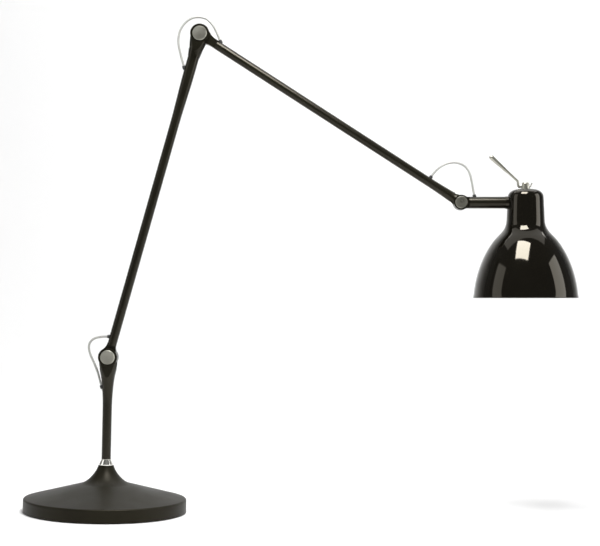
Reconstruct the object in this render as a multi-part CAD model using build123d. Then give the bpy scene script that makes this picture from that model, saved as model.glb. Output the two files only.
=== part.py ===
"""Architect desk lamp: a weighted foot, a short post, two long arms and a spun bell shade.

Millimetres, +Z up. The origin is the centre of the foot's underside. The arms lie in the plane Y = 0.
"""
import math
import os

from build123d import *

# ---------------------------------------------------------------- overall sizes and pose at rest
base_diameter = 215.0
post_pivot_height = 205.0
lower_arm_length = 445.5
upper_arm_length = 412.0
forearm_length = 86.0
lower_arm_lean = 14.6  # degrees from upright, towards +X
upper_arm_lean = 121.6
forearm_lean = 88.75
shade_lean = forearm_lean - 90  # the shade hangs square to the forearm

# ---------------------------------------------------------------- fits
running_gap = 0.05  # radial, between a turning shaft and its hole
face_gap = 0.05  # between faces that slide on each other
seat_gap = 0.3  # between pieces that do not touch
cable_gap = 0.6  # round the flex where it passes through a wall
flex_turning_gap = 0.12  # between two lengths of the flex that turn on each other

# ---------------------------------------------------------------- foot
cover_wall = 2.2
cover_rim_bottom = 0.8
cover_edge_radius = 2.6
cone_apex_height = 45.8
cone_slope = 0.26
trumpet_start_radius = 34.0
trumpet_throat_height = 58.0
trumpet_waist_radius = 18.5
trumpet_waist_height = 47.2
trumpet_top_radius = 9.9
trumpet_top_height = 62.0
felt_thickness = 2.5
plate_thickness = 1.5
plate_edge_gap = 1.0
weight_boss_radius = 11.0
weight_boss_height = 46.0
weight_shoulder_height = 41.0
weight_well_radius = 13.0
weight_well_height = 36.0
channel_width = 13.0
channel_height = 12.0
screw_circle_radius = 45.0
screw_count = 3
screw_radius = 2.0
screw_head_radius = 4.0
screw_length = 13.0
gland_height = 9.6
gland_bore_radius = 3.4
gland_body_radius = 4.8
gland_flange_radius = 6.6
gland_flange_thickness = 2.0
gland_depth = 6.0
terminal_length = 24.0
terminal_width = 10.0
terminal_height = 9.0
terminal_distance = 52.0

# ---------------------------------------------------------------- swivel and post
spigot_radius = 5.0
spigot_bore_radius = 3.0
spigot_bottom = 28.5
spigot_top = 98.0
bush_outer_radius = 7.5
collar_bottom_radius = 9.4
collar_top_radius = 6.3
collar_height = 7.3
thrust_washer_thickness = 0.6
nut_height = 5.0
nut_width = 15.0  # across flats
post_tube_radius = 6.15
arm_bore_radius = 4.85
spigot_fit_length = 14.0  # how far an end piece reaches into its tube
elbow_fit_length = 8.0

# ---------------------------------------------------------------- joints between arms
ear_radius = 12.6
fork_width = 18.0
tongue_width = 8.0
tongue_radius = 12.7
elbow_ear_radius = 10.0
elbow_fork_width = 16.0
elbow_tongue_width = 6.4
washer_thickness = 0.9
bolt_radius = 3.0
cap_radius = 9.4
cap_rim_height = 1.4
elbow_cap_radius = 7.9
cap_recess = 0.5
dimple_radius = 0.9
dimple_depth = 0.8
dimple_count = 8
screw_slot_width = 0.9
cap_screw_radius = 2.6
cap_screw_height = 0.9

# ---------------------------------------------------------------- arms
lower_tube_radius = 6.05
lower_tube_swell_radius = 7.5
lower_tube_swell_start = 125.0  # below the upper pivot
lower_tube_swell_end = 52.0
upper_tube_radius = 5.85
forearm_radius = 7.85
forearm_bore_radius = 6.6
post_fork_length = 62.0
lower_fork_length = 31.0
upper_fork_length = 40.0
post_slot_depth = 15.0
lower_slot_depth = 22.0
upper_slot_depth = 13.5
# Outlines of the forks' necks, as radius and height from the pivot.
post_neck = [(6.25, -post_fork_length), (7.1, -44.0), (9.3, -25.0), (12.0, -12.0), (ear_radius, 0)]
lower_neck = [(8.2, -lower_fork_length), (9.7, -21.0), (11.9, -9.0), (ear_radius, 0)]
upper_neck = [(5.95, -upper_fork_length), (6.4, -24.0), (7.5, -11.0), (elbow_ear_radius - seat_gap, 0)]
tongue_neck_length = 16.0
upper_tongue_neck_length = 26.0
forearm_neck_length = 11.0
tongue_end_length = 30.0  # pivot to the start of the tube
forearm_end_length = 15.0

# ---------------------------------------------------------------- head
shade_wall = 1.0
shade_rim_bead = 0.9
shade_top = 18.4  # above the forearm's axis
shade_rim_radius = 69.0
shade_rim_drop = 126.8
neck_top_radius = 24.0
neck_bottom_radius = 25.1
neck_top = 4.0
neck_bottom = -22.0
dome_flatness = 19.0
dome_roundness = 7.5
shoulder_point = (36.5, -44.4)  # where the hollow below the neck turns into the bell
shoulder_slope = (0.7, -0.71)
shoulder_reach = (11.0, 10.0)
bell_reach = (25.0, 32.0)
rim_slope = (0.06, -1)
saddle_radius = 8.4
saddle_reach = 27.0
nipple_radius = 5.0
nipple_bore_radius = 3.0
nipple_inner_end = 13.0  # left of the shade's axis
nipple_in_forearm = 20.0
end_plug_length = 8.0
bracket_thickness = 1.5
bracket_width = 16.0
bracket_plane = 20.4
bracket_shelf_drop = 14.0
holder_radius = 18.5
holder_top_length = 16.0
holder_skirt_length = 25.0
holder_wall = 2.0
lamp_cap_radius = 13.0
lamp_cap_length = 24.0
lamp_glass_radius = 22.5
lamp_glass_drop = 90.0
lamp_glass_wall = 0.8
switch_radius = 11.0
switch_height = 9.0
switch_bush_radius = 3.2
switch_nut_radius = 5.6
switch_nut_height = 1.6
shaft_radius = 1.9
lever_plate_thickness = 2.0
lever_plate_radius = 5.4
lever_root_radius = 1.6
lever_tip_radius = 3.1
lever_foot = -9.6  # where the lever leaves its plate
lever_rise = (-10.4, 7.2)  # end of its short rise, above the plate
lever_tip = (-47.4, 62.0)
lever_bends = (1.8, 3.0)
stub_foot = 6.4
stub_tip = (8.6, 5.0)
stub_radius = 0.9
stub_bend = 1.2
hub_nut_radius = 4.9
hub_nut_height = 5.0
knurl_count = 18
knurl_radius = 0.45

# ---------------------------------------------------------------- flex
cable_diameter = 3.0
bend_share = 0.45  # of the shorter run that a bend may take


def upright(radius, low, high):
    """Solid cylinder along Z between two heights."""
    return Pos(0, 0, low) * Cylinder(radius, high - low, align=(Align.CENTER, Align.CENTER, Align.MIN))


def sleeve(outer, inner, low, high):
    """Tube along Z."""
    return upright(outer, low, high) - upright(inner, low - 1, high + 1)


def along_y(radius, low, high, height=0.0):
    """Solid cylinder along Y between two depths."""
    return Pos(0, high, height) * Rot(90, 0, 0) * upright(radius, 0, high - low)


def along_x(radius, low, high):
    """Solid cylinder along X between two places."""
    return Pos(low, 0, 0) * Rot(0, 90, 0) * upright(radius, 0, high - low)


def hexagon(width, low, high):
    """Hexagonal prism along Z, measured across its flats."""
    corner = width / math.sqrt(3)
    return extrude(Pos(0, 0, low) * RegularPolygon(corner, 6), high - low)


def turned(*lines):
    """Solid of revolution round Z from a closed outline of lines in the XZ plane."""
    edges = [edge for line in lines for edge in line.edges()]
    return revolve(make_face(Wire(edges)), Axis.Z)


def outline(*points):
    """Closed outline of straight lines through points given as radius and height."""
    return Polyline(*[(radius, 0, height) for radius, height in points], close=True)


def at(radius, height):
    """Point of a turned outline."""
    return Vector(radius, 0, height)


def inset(points, wall):
    """The same outline moved inwards by a wall, square to the line through each point's neighbours."""
    moved = []
    last = len(points) - 1
    for index, (radius, height) in enumerate(points):
        before = points[max(index - 1, 0)]
        after = points[min(index + 1, last)]
        step_r = after[0] - before[0]
        step_z = after[1] - before[1]
        length = math.hypot(step_r, step_z)
        moved.append((radius + wall * step_z / length, height - wall * step_r / length))
    return moved


# ================================================================ arm frames
def arm_frame(pivot, lean):
    """Frame at a pivot whose Z axis runs along an arm and whose Y axis is the pivot's own."""
    return Location((pivot.X, pivot.Y, pivot.Z), (0, lean, 0))


def arm_end(pivot, lean, length):
    """Where an arm that starts at a pivot ends."""
    turn = math.radians(lean)
    return pivot + Vector(math.sin(turn), 0, math.cos(turn)) * length


post_pivot = Vector(0, 0, post_pivot_height)
crown_pivot = arm_end(post_pivot, lower_arm_lean, lower_arm_length)
elbow_pivot = arm_end(crown_pivot, upper_arm_lean, upper_arm_length)
shade_centre = arm_end(elbow_pivot, forearm_lean, forearm_length)

post_frame = arm_frame(post_pivot, 0)
lower_frame = arm_frame(post_pivot, lower_arm_lean)
crown_frame = arm_frame(crown_pivot, lower_arm_lean)
upper_frame = arm_frame(crown_pivot, upper_arm_lean)
elbow_frame = arm_frame(elbow_pivot, upper_arm_lean)
forearm_frame = arm_frame(elbow_pivot, forearm_lean)
shade_frame = arm_frame(shade_centre, shade_lean)


def place(frame, across, along):
    """Point of an arm's frame, in the lamp's frame."""
    return (frame * Pos(across, 0, along)).position


# ================================================================ flex, laid out whole and then parted
post_start = spigot_bottom + 1.5
flex_route = [
    Vector(0, terminal_distance - terminal_length / 2, gland_height),
    Vector(0, 9.0, 9.0),
    Vector(0, 0, post_start),
    place(post_frame, 2.0, -66.0),
    place(post_frame, -9.8, -34.5),
    place(post_frame, -13.5, -20.0),
    place(post_frame, -19.5, -6.5),
    place(post_frame, -25.5, 6.0),
    place(post_frame, -26.5, 17.0),
    place(post_frame, -20.5, 24.5),
    place(lower_frame, -16.0, 24.0),
    place(lower_frame, 1.9, 28.9),
    place(crown_frame, 1.9, -65.0),
    place(crown_frame, -19.9, -29.0),
    place(crown_frame, -25.5, -17.0),
    place(crown_frame, -27.5, -3.0),
    place(crown_frame, -23.5, 10.0),
    place(crown_frame, -14.5, 20.0),
    place(upper_frame, -22.5, -6.0),
    place(upper_frame, -20.8, 4.0),
    place(upper_frame, -16.8, 13.9),
    place(upper_frame, 1.8, 39.5),
    place(elbow_frame, 1.8, -52.2),
    place(elbow_frame, -18.4, -51.2),
    place(elbow_frame, -30.0, -46.5),
    place(elbow_frame, -39.0, -39.0),
    place(elbow_frame, -43.5, -28.5),
    place(forearm_frame, -47.0, 7.5),
    place(forearm_frame, -36.5, 13.0),
    place(forearm_frame, -22.0, 15.5),
    place(forearm_frame, 3.2, 20.5),
    place(forearm_frame, 0.0, 44.0),
    place(shade_frame, 0.0, 0.5),
    place(shade_frame, 0.3, -19.0),
]
# Where the flex changes from one node to the next: the middle of the run that starts at this point.
flex_parts = {
    "cable_foot": (None, 2),
    "cable_post": (2, 3),
    "cable_loop_lower": (3, 10),
    "cable_lower_arm": (10, 12),
    "cable_loop_crown": (12, 20),
    "cable_upper_arm": (20, 22),
    "cable_loop_elbow": (22, 29),
    "cable_forearm": (29, 31),
    "cable_head": (31, None),
}
flex_turning_runs = (2, 31)  # the runs on the axes of the foot's swivel and of the shade's roll


def bend_radii(points):
    """Radius of the bend at each inner point: as large as its two runs allow."""
    radii = []
    for before, corner, after in zip(points, points[1:], points[2:]):
        shorter = min((corner - before).length, (after - corner).length)
        turn = math.radians((corner - before).get_angle(after - corner))
        radii.append(bend_share * shorter / math.tan(turn / 2))
    return radii


flex_radii = bend_radii(flex_route)


def flex_path(first, last):
    """Corner points and bend radii of the flex between the middles of two runs, or its ends."""
    start = 0 if first is None else first
    stop = len(flex_route) - 1 if last is None else last + 1
    points = list(flex_route[start:stop + 1])
    radii = flex_radii[start:stop - 1]
    if first is not None:
        points[0] = (flex_route[first] + flex_route[first + 1]) * 0.5
    if first in flex_turning_runs:
        points[0] += (points[1] - points[0]).normalized() * flex_turning_gap
    if last is not None:
        points[-1] = (flex_route[last] + flex_route[last + 1]) * 0.5
    return points, radii


def flex_tube(first, last, diameter):
    """Round tube along a stretch of the flex, and the stretch's length."""
    points, radii = flex_path(first, last)
    path = FilletPolyline(*points, radius=radii) if len(points) > 2 else Line(*points)
    section = Plane(points[0], z_dir=points[1] - points[0]) * Circle(diameter / 2)
    return sweep(section, path), path.length


def flex_hole(first, last):
    """Room for a stretch of the flex to pass through a piece."""
    return flex_tube(first, last, cable_diameter + 2 * cable_gap)[0]


# ================================================================ shared pieces of the arm joints
def fork_end(profile, ears, width, slot_depth, tongue, tube_bore, fit):
    """End of an arm that carries a pivot: a flared neck with two ears.

    The pivot is at the frame's origin. The neck's outline is given as radius and height.
    """
    length = -profile[0][1]
    neck_line = Spline(*[at(r, z) for r, z in profile], tangents=[(0, 0, 1), (0, 0, 1)])
    top = Line(at(profile[-1][0], 0), at(0, 0))
    axis_line = Line(at(0, 0), at(0, -length))
    foot = Line(at(0, -length), at(profile[0][0], -length))
    body = turned(neck_line, top, axis_line, foot)
    body += along_y(ears, -width / 2, width / 2)
    body &= Box(4 * ears, width, 4 * length)
    gap = tongue + 2 * (washer_thickness + face_gap)
    slot = Pos(0, 0, -slot_depth) * Box(4 * ears, gap, 4 * ears, align=(Align.CENTER, Align.CENTER, Align.MIN))
    body -= slot
    body -= along_y(bolt_radius + running_gap, -width, width)
    body += upright(tube_bore, -length - fit, -length)
    return body


def flare_plate(disc_radius, half_width, flare_radius, length, thickness):
    """Flat tongue: a disc round the pivot that flows into a straight neck."""
    centre_x = half_width + flare_radius
    rise = math.sqrt((disc_radius + flare_radius) ** 2 - centre_x ** 2)
    share = disc_radius / (disc_radius + flare_radius)
    touch = (centre_x * share, rise * share)
    chord_x = (half_width + touch[0]) / 2 - centre_x
    chord_z = (touch[1] - rise) / 2
    reach = flare_radius / math.hypot(chord_x, chord_z)
    middle = (centre_x + chord_x * reach, rise + chord_z * reach)
    edges = [
        Line(at(half_width, length), at(half_width, rise)),
        ThreePointArc(at(half_width, rise), at(*middle), at(*touch)),
        Line(at(*touch), at(-touch[0], touch[1])),
        ThreePointArc(at(-touch[0], touch[1]), at(-middle[0], middle[1]), at(-half_width, rise)),
        Line(at(-half_width, rise), at(-half_width, length)),
        Line(at(-half_width, length), at(half_width, length)),
    ]
    neck = extrude(make_face(Wire(edges)), thickness / 2, dir=(0, 1, 0), both=True)
    return neck + along_y(disc_radius, -thickness / 2, thickness / 2)


def tongue_end(disc, half_width, flare, neck_length, length, thickness, bore, fit):
    """End of an arm that turns between a fork's ears, with a spigot for its tube."""
    body = flare_plate(disc, half_width - seat_gap, flare, neck_length + 1, thickness)
    body += upright(half_width, neck_length, length)
    body += upright(bore, length, length + fit)
    return body - along_y(bolt_radius + running_gap, -thickness, thickness)


def pivot_set(ears, width, tongue, cap):
    """Bolt with its nut cap, front tension cap and the two friction washers of one joint."""
    face = width / 2
    bolt = along_y(bolt_radius, -face - cap_recess, face + cap_recess)
    rear = along_y(cap, face, face + cap_rim_height)
    bolt += rear
    front = along_y(cap, -face - cap_rim_height, -face)
    front = chamfer(front.faces().sort_by(Axis.Y)[0].edges(), 0.5)
    rim_face = -face - cap_rim_height
    for index in range(dimple_count):
        turn = 2 * math.pi * index / dimple_count
        dimple = along_y(dimple_radius, rim_face - 1, rim_face + dimple_depth)
        front -= Pos(0.68 * cap * math.cos(turn), 0, 0.68 * cap * math.sin(turn)) * dimple
    front -= along_y(bolt_radius, -face - cap_recess, -face)
    screw = along_y(cap_screw_radius, rim_face - cap_screw_height, rim_face)
    screw -= Pos(0, rim_face - cap_screw_height, 0) * Box(4 * cap_screw_radius, cap_screw_height, screw_slot_width)
    inner = tongue / 2 + face_gap
    washers = []
    for low in (inner, -inner - washer_thickness):
        ring = along_y(ears - 0.2, low, low + washer_thickness)
        washers.append(ring - along_y(bolt_radius + running_gap, low - 1, low + washer_thickness + 1))
    return bolt, front, screw, Compound(washers)


nodes = {}


def keep(name, solid, frame=None):
    """Record a finished piece, moved from its own frame to the lamp's."""
    nodes[name] = solid if frame is None else frame * solid


# ================================================================ foot
def cover_cone(radius, wall=0.0):
    """Height of the cover's cone, or of the face a wall below it."""
    return cone_apex_height - cone_slope * radius - wall * math.hypot(1, cone_slope)


def cover_side(wall):
    """Trumpet, cone and rim of the cover, set in by a wall."""
    rim_radius = base_diameter / 2 - wall
    trumpet = [(trumpet_top_radius, trumpet_top_height), (trumpet_waist_radius, trumpet_waist_height)]
    trumpet.append((trumpet_start_radius, cover_cone(trumpet_start_radius)))
    if wall > 0:
        trumpet = inset(trumpet, wall)
        trumpet[0] = (bush_outer_radius, trumpet_throat_height)
        trumpet[-1] = (trumpet_start_radius, cover_cone(trumpet_start_radius, wall))
    flare = Spline(*[at(*point) for point in trumpet], tangents=[(0.3, 0, -1), (1, 0, -cone_slope)])
    edge = max(cover_edge_radius - wall, 0.3)
    corner = at(rim_radius, cover_cone(rim_radius, wall))
    cone = FilletPolyline(at(*trumpet[-1]), corner, at(rim_radius, cover_rim_bottom), radius=edge)
    return [flare, cone]


def make_foot():
    """Everything that stands on the table and does not turn."""
    rim_radius = base_diameter / 2
    inner_rim = rim_radius - cover_wall
    outer = cover_side(0.0)
    inner = cover_side(cover_wall)
    top = Polyline(
        at(trumpet_top_radius, trumpet_top_height),
        at(bush_outer_radius, trumpet_top_height),
        at(bush_outer_radius, trumpet_throat_height),
    )
    bottom = Line(at(rim_radius, cover_rim_bottom), at(inner_rim, cover_rim_bottom))
    cover = turned(*outer, bottom, *inner, top)
    keep("foot_cover", cover - Pos(0, rim_radius, gland_height) * Rot(90, 0, 0) * Cylinder(gland_body_radius, 20))

    plate_top = felt_thickness + plate_thickness
    weight_edge = inner_rim - seat_gap
    weight = turned(outline(
        (weight_well_radius, plate_top),
        (weight_edge, plate_top),
        (weight_edge, cover_cone(weight_edge, cover_wall) - 2 * seat_gap),
        (trumpet_start_radius, cover_cone(trumpet_start_radius, cover_wall) - 2 * seat_gap),
        (weight_boss_radius, weight_shoulder_height),
        (weight_boss_radius, weight_boss_height),
        (bush_outer_radius, weight_boss_height),
        (bush_outer_radius, weight_well_height),
        (weight_well_radius, weight_well_height),
    ))
    corner_low = (Align.CENTER, Align.MIN, Align.MIN)
    weight -= Pos(0, 0, plate_top) * Box(channel_width, 2 * rim_radius, channel_height, align=corner_low)
    plate = upright(inner_rim - plate_edge_gap, felt_thickness, plate_top)
    screws = []
    for index in range(screw_count):
        turn = math.radians(360 * index / screw_count - 90)
        spot = Pos(screw_circle_radius * math.cos(turn), screw_circle_radius * math.sin(turn), 0)
        shank = upright(screw_radius, felt_thickness, felt_thickness + screw_length)
        low = (Align.CENTER, Align.CENTER, Align.MIN)
        head = Pos(0, 0, felt_thickness) * Cone(screw_head_radius, screw_radius, plate_thickness, align=low)
        plate -= spot * (head + shank)
        weight -= spot * shank
        slot = Pos(0, 0, felt_thickness) * Box(2 * screw_head_radius, screw_slot_width, 1.2)
        screws.append(spot * (head + shank - slot))
    keep("foot_weight", weight)
    keep("foot_plate", plate)
    keep("foot_screws", Compound(screws))
    keep("felt_pad", upright(inner_rim - plate_edge_gap, 0, felt_thickness))

    gland = upright(gland_body_radius, rim_radius - gland_depth, rim_radius)
    gland += upright(gland_flange_radius, rim_radius - 1, rim_radius + gland_flange_thickness)
    gland -= upright(gland_bore_radius, 0, 2 * rim_radius)
    gland = Pos(0, 0, gland_height) * Rot(-90, 0, 0) * gland
    flange_back = sleeve(rim_radius, 0.9 * rim_radius, 0, 4 * gland_height)
    keep("mains_gland", gland - (flange_back - along_y(gland_body_radius, 0, 2 * rim_radius, gland_height)))

    block = Box(terminal_width, terminal_length, terminal_height, align=(Align.CENTER, Align.CENTER, Align.MIN))
    block = chamfer(block.edges().filter_by(Axis.Z), 0.8)
    block = Pos(0, terminal_distance, plate_top) * block
    for side in (-1, 1):
        spot = Pos(0, terminal_distance + side * terminal_length / 4, 0)
        block -= spot * upright(1.9, plate_top + terminal_height / 2, plate_top + 2 * terminal_height)
    keep("terminal_block", block)


def make_swivel():
    """Bush, collar and thrust washer of the foot, and the spigot and nut of the post."""
    collar_top = trumpet_top_height + collar_height
    washer_top = collar_top + thrust_washer_thickness
    hole = spigot_radius + running_gap
    keep("swivel_bush", sleeve(bush_outer_radius, hole, weight_well_height, trumpet_top_height))
    collar = turned(outline(
        (hole + seat_gap, trumpet_top_height),
        (collar_bottom_radius, trumpet_top_height),
        (collar_bottom_radius, trumpet_top_height + 1.0),
        (collar_top_radius, collar_top),
        (hole + seat_gap, collar_top),
    ))
    keep("collar_ring", collar)
    keep("thrust_washer", sleeve(post_tube_radius, hole + seat_gap, collar_top, washer_top))

    tube_bottom = washer_top + face_gap
    spigot = upright(spigot_radius, spigot_bottom, tube_bottom)
    spigot += upright(arm_bore_radius, tube_bottom, spigot_top)
    spigot -= upright(spigot_bore_radius, 0, post_pivot_height)
    keep("post_spigot", spigot)
    nut_top = weight_well_height - face_gap
    nut = hexagon(nut_width, nut_top - nut_height, nut_top) - upright(spigot_radius, 0, post_pivot_height)
    keep("spigot_nut", nut)
    keep("post_tube", sleeve(post_tube_radius, arm_bore_radius, tube_bottom, post_pivot_height - post_fork_length))


# ================================================================ post and arms
def make_arms():
    """Fork, tube and tongue of each member, with the holes that the flex passes through."""
    post_fork = fork_end(
        post_neck, ear_radius, fork_width, post_slot_depth, tongue_width, arm_bore_radius, spigot_fit_length
    )
    keep("post_fork", (post_frame * post_fork) - flex_hole(2, 4))

    lower_tongue = tongue_end(
        tongue_radius, lower_tube_radius, 16.0, tongue_neck_length, tongue_end_length, tongue_width,
        arm_bore_radius, spigot_fit_length,
    )
    keep("lower_arm_tongue", (lower_frame * lower_tongue) - flex_hole(9, 11))

    swell_low = lower_arm_length - lower_tube_swell_start
    swell_high = lower_arm_length - lower_tube_swell_end
    tube_top = lower_arm_length - lower_fork_length
    upwards = [(0, 0, 1), (0, 0, 1)]
    swell = Spline(at(lower_tube_radius, swell_low), at(lower_tube_swell_radius, swell_high), tangents=upwards)
    tube = turned(
        Line(at(lower_tube_radius, tongue_end_length), at(lower_tube_radius, swell_low)),
        swell,
        Line(at(lower_tube_swell_radius, swell_high), at(lower_tube_swell_radius, tube_top)),
        Line(at(lower_tube_swell_radius, tube_top), at(arm_bore_radius, tube_top)),
        Line(at(arm_bore_radius, tube_top), at(arm_bore_radius, tongue_end_length)),
        Line(at(arm_bore_radius, tongue_end_length), at(lower_tube_radius, tongue_end_length)),
    )
    keep("lower_arm_tube", (lower_frame * tube) - flex_hole(11, 13))

    lower_fork = fork_end(
        lower_neck, ear_radius, fork_width, lower_slot_depth, tongue_width, arm_bore_radius, spigot_fit_length
    )
    keep("lower_arm_fork", crown_frame * lower_fork)

    upper_tongue = tongue_end(
        tongue_radius, upper_tube_radius, 24.0, upper_tongue_neck_length, tongue_end_length, tongue_width,
        arm_bore_radius, spigot_fit_length,
    )
    keep("upper_arm_tongue", (upper_frame * upper_tongue) - flex_hole(19, 21))
    tube = sleeve(upper_tube_radius, arm_bore_radius, tongue_end_length, upper_arm_length - upper_fork_length)
    keep("upper_arm_tube", (upper_frame * tube) - flex_hole(19, 21) - flex_hole(21, 23))

    upper_fork = fork_end(
        upper_neck, elbow_ear_radius, elbow_fork_width, upper_slot_depth, elbow_tongue_width,
        arm_bore_radius, elbow_fit_length,
    )
    keep("upper_arm_fork", elbow_frame * upper_fork)

    forearm_tongue = tongue_end(
        elbow_ear_radius, forearm_radius, 6.0, forearm_neck_length, forearm_end_length, elbow_tongue_width,
        forearm_bore_radius, spigot_fit_length,
    )
    keep("forearm_tongue", (forearm_frame * forearm_tongue) - flex_hole(28, 30))
    forearm_end = forearm_length - saddle_reach - face_gap
    tube = sleeve(forearm_radius, forearm_bore_radius, forearm_end_length, forearm_end)
    keep("forearm_tube", (forearm_frame * tube) - flex_hole(28, 30))
    plug = sleeve(forearm_bore_radius, nipple_radius, forearm_end - end_plug_length, forearm_end)
    keep("forearm_plug", plug, forearm_frame)
    nipple_end = forearm_length - nipple_inner_end
    nipple = sleeve(nipple_radius, nipple_bore_radius, forearm_end - nipple_in_forearm, nipple_end)
    keep("forearm_nipple", nipple, forearm_frame)
    nut_low = forearm_length - bracket_plane + bracket_thickness + face_gap
    nut = hexagon(nut_width, nut_low, nut_low + nut_height) - upright(nipple_radius, 0, forearm_length)
    keep("nipple_nut", nut, forearm_frame)


def make_pivots():
    """Bolts, caps, screws and washers of the three arm joints."""
    joints = {
        "post": (post_frame, ear_radius, fork_width, tongue_width, cap_radius),
        "crown": (crown_frame, ear_radius, fork_width, tongue_width, cap_radius),
        "elbow": (elbow_frame, elbow_ear_radius, elbow_fork_width, elbow_tongue_width, elbow_cap_radius),
    }
    for name, (frame, ears, width, tongue, cap) in joints.items():
        bolt, front, screw, washers = pivot_set(ears, width, tongue, cap)
        keep(f"{name}_pivot_bolt", bolt, frame)
        keep(f"{name}_tension_cap", front, frame)
        keep(f"{name}_cap_screw", screw, frame)
        keep(f"{name}_friction_washers", washers, frame)


# ================================================================ head
def flowing(start, leave, reach_out, end, arrive, reach_in, wall):
    """Curve between two points with given directions, moved inwards by a wall."""
    leave = Vector(leave[0], 0, leave[1]).normalized()
    arrive = Vector(arrive[0], 0, arrive[1]).normalized()
    start = at(*start) + Vector(leave.Z, 0, -leave.X) * wall
    end = at(*end) + Vector(arrive.Z, 0, -arrive.X) * wall
    return Bezier(start, start + leave * reach_out, end - arrive * reach_in, end)


def shade_line(wall):
    """Outline of the shade from its top hole to its rim, set in by a wall."""
    top = (switch_bush_radius, shade_top)
    neck_start = (neck_top_radius, neck_top)
    neck_end = (neck_bottom_radius, neck_bottom)
    rim = (shade_rim_radius, -shade_rim_drop)
    neck = (neck_bottom_radius - neck_top_radius, neck_bottom - neck_top)
    dome = flowing(top, (1, 0), dome_flatness, neck_start, neck, dome_roundness, wall)
    shoulder = flowing(neck_end, neck, shoulder_reach[0], shoulder_point, shoulder_slope, shoulder_reach[1], wall)
    bell = flowing(shoulder_point, shoulder_slope, bell_reach[0], rim, rim_slope, bell_reach[1], wall)
    straight = Line(dome @ 1, shoulder @ 0)
    return dome, straight, shoulder, bell


def shade_core(wall):
    """Solid that fills the shade to its outer face, or to its inner one."""
    lines = shade_line(wall)
    top = lines[0] @ 0
    rim = lines[-1] @ 1
    return turned(*lines, Line(rim, at(0, rim.Z)), Line(at(0, rim.Z), at(0, top.Z)), Line(at(0, top.Z), top))


def make_shade():
    """Spun shade with its saddles, the bracket, the lampholder and the lamp."""
    outer = shade_line(0.0)
    inner = shade_line(shade_wall)
    shade = turned(
        *outer, *inner,
        Line(outer[-1] @ 1, inner[-1] @ 1),
        Line(outer[0] @ 0, inner[0] @ 0),
    )
    bead_radius = shade_rim_radius - shade_wall / 2
    bead = Plane.XZ * Pos(bead_radius, -shade_rim_drop + shade_rim_bead) * Circle(shade_rim_bead)
    shade += revolve(bead, Axis.Z)
    side_hole = along_x(nipple_radius + running_gap, -2 * neck_bottom_radius, 0)
    keep("shade", shade - side_hole, shade_frame)

    saddle = along_x(saddle_radius, -saddle_reach, 0) - shade_core(0.0) - side_hole
    inner_saddle = (along_x(saddle_radius, -neck_bottom_radius, -bracket_plane) & shade_core(shade_wall)) - side_hole
    keep("shade_saddles", Compound([saddle.solid(), inner_saddle.solid()]), shade_frame)

    shelf_end = holder_radius / 2
    drop = bracket_shelf_drop + bracket_thickness
    corner_min = (Align.MIN, Align.CENTER, Align.MIN)
    rise = saddle_radius + drop
    bracket = Pos(-bracket_plane, 0, -drop) * Box(bracket_thickness, bracket_width, rise, align=corner_min)
    shelf_length = bracket_plane + shelf_end
    bracket += Pos(-bracket_plane, 0, -drop) * Box(
        shelf_length, bracket_width, bracket_thickness, align=corner_min
    )
    bracket -= side_hole
    bracket -= upright(nipple_radius, -2 * drop, 0)
    keep("holder_bracket", bracket, shade_frame)
    make_lampholder(-drop)


def make_lampholder(top):
    """Lampholder under its bracket, with the lamp in it; top is the bracket's underside."""
    thread_top = top + bracket_thickness + nut_height
    shoulder = top - holder_top_length / 2
    joint = top - holder_top_length
    wall = holder_wall
    cap = turned(
        Polyline(
            at(spigot_bore_radius, thread_top),
            at(nipple_radius, thread_top),
            at(nipple_radius, top),
            at(nipple_radius + 3, top),
        ),
        Spline(
            at(nipple_radius + 3, top), at(holder_radius, shoulder), tangents=[(1, 0, 0), (0, 0, -1)]
        ),
        Line(at(holder_radius, shoulder), at(holder_radius, joint)),
        Line(at(holder_radius, joint), at(holder_radius - wall, joint)),
        Line(at(holder_radius - wall, joint), at(holder_radius - wall, shoulder)),
        Spline(
            at(holder_radius - wall, shoulder), at(nipple_radius + 3, top - wall), tangents=[(0, 0, 1), (-1, 0, 0)]
        ),
        Polyline(
            at(nipple_radius + 3, top - wall),
            at(spigot_bore_radius, top - wall),
            at(spigot_bore_radius, thread_top),
        ),
    )
    keep("lampholder_cap", cap, shade_frame)
    nut = hexagon(nut_width, top + bracket_thickness, thread_top - 1.0) - upright(nipple_radius, top, thread_top)
    keep("holder_nut", nut, shade_frame)

    floor = joint - 4.0
    sleeve_radius = lamp_cap_radius + 0.1
    shell_radius = sleeve_radius + 0.5
    skirt_end = joint - holder_skirt_length
    skirt = upright(holder_radius, skirt_end, joint) - upright(shell_radius, skirt_end - 1, floor)
    keep("lampholder_body", skirt, shade_frame)
    shell = sleeve(shell_radius, sleeve_radius, skirt_end + 2.5, floor)
    button = floor - 2.0
    keep("lampholder_contacts", Compound([shell.solid(), upright(3.0, button, floor).solid()]), shade_frame)

    cap_end = button - lamp_cap_length
    glass_neck = lamp_cap_radius - 0.6
    lamp_cap = turned(outline(
        (0, button),
        (4.0, button),
        (lamp_cap_radius, button - 4.0),
        (lamp_cap_radius, cap_end),
        (glass_neck, cap_end),
        (glass_neck, button - 5.0),
        (0, button - 5.0),
    ))
    keep("lamp_cap", lamp_cap, shade_frame)
    keep("lamp_glass", lamp_glass(glass_neck, cap_end), shade_frame)


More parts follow.
